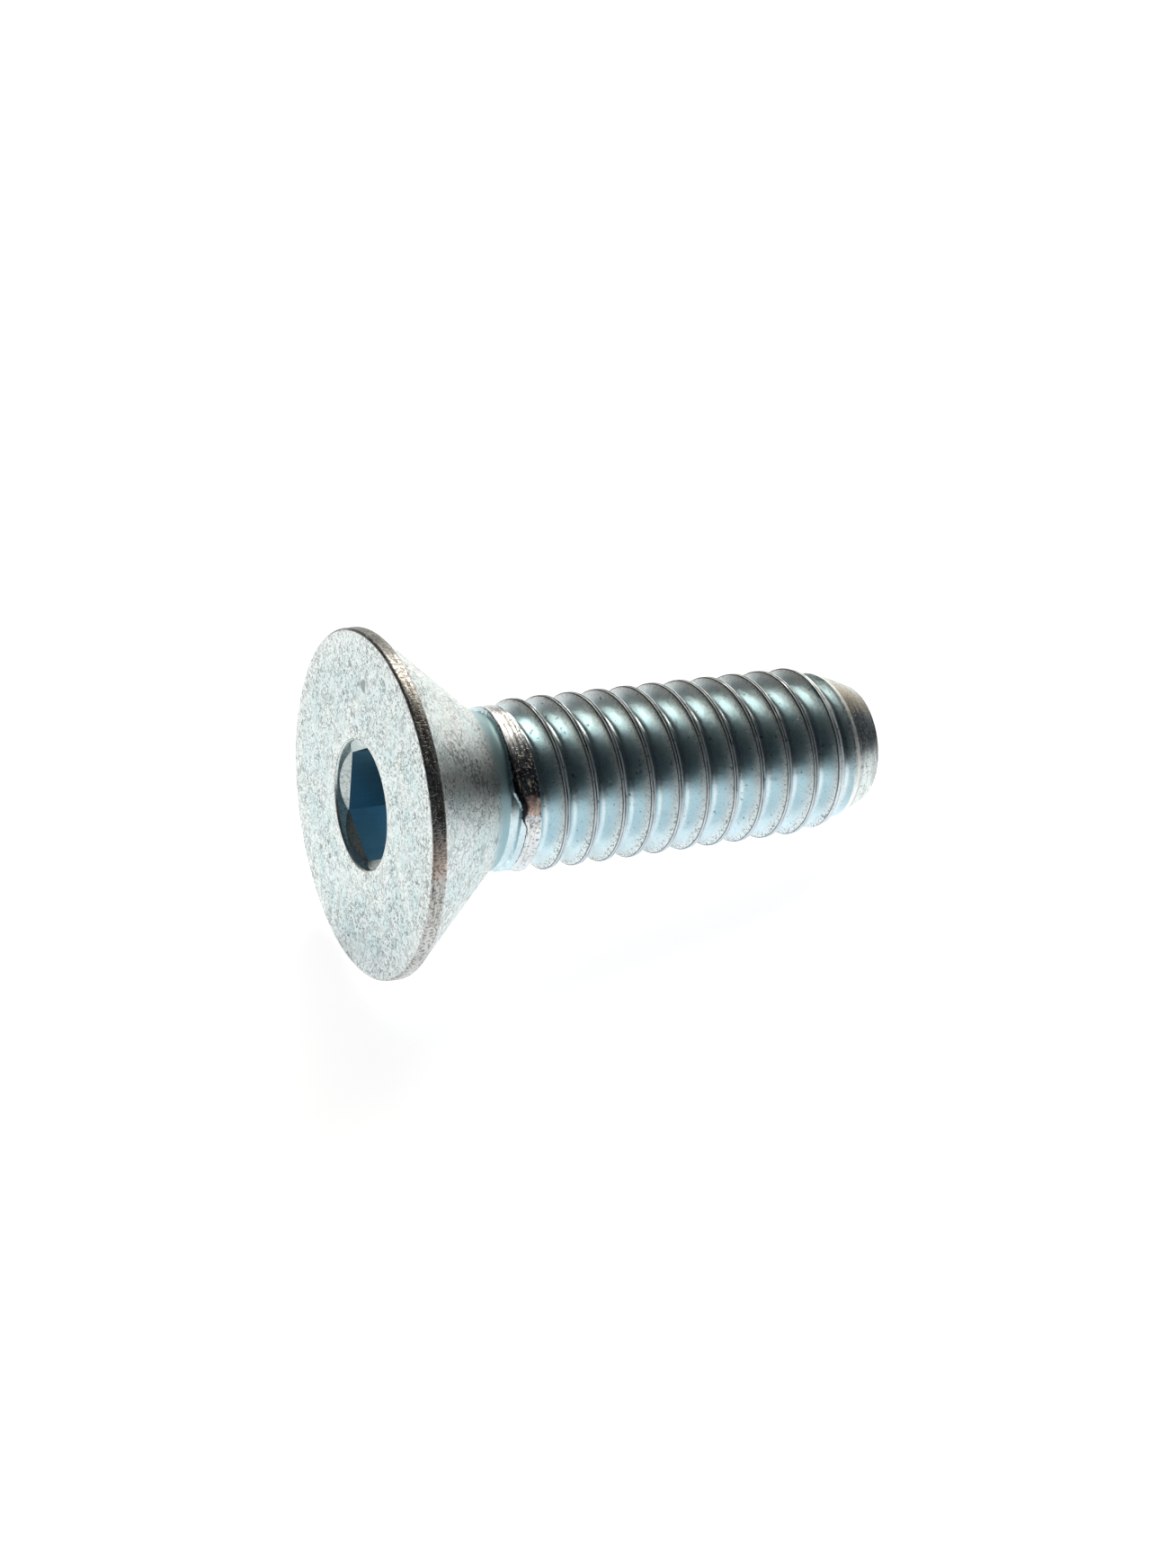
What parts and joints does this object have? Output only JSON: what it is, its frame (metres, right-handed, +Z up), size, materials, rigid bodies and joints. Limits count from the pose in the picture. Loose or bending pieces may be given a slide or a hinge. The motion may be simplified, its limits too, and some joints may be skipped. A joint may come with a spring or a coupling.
{
  "type": "hexagon socket flat countersunk head screw",
  "caption": "Zinc-plated steel screw with a flat countersunk head, a hexagon socket and a thread along its whole shank, drawing a part down flush.",
  "frame": {"origin": "on the floor under the middle of the screw's box, as it lies on its side", "axes": "+Z up from the floor; +X from the head towards the point, along the floor; the screw's own axis leans down from the head to the point by about 10 degrees"},
  "size_m": [0.0262, 0.0152, 0.0151],
  "materials": {
    "zinc_plate": "bright bluish zinc plate"
  },
  "bodies": {
    "root": {"flat_head_screw": "zinc_plate"}
  },
  "joints": []
}
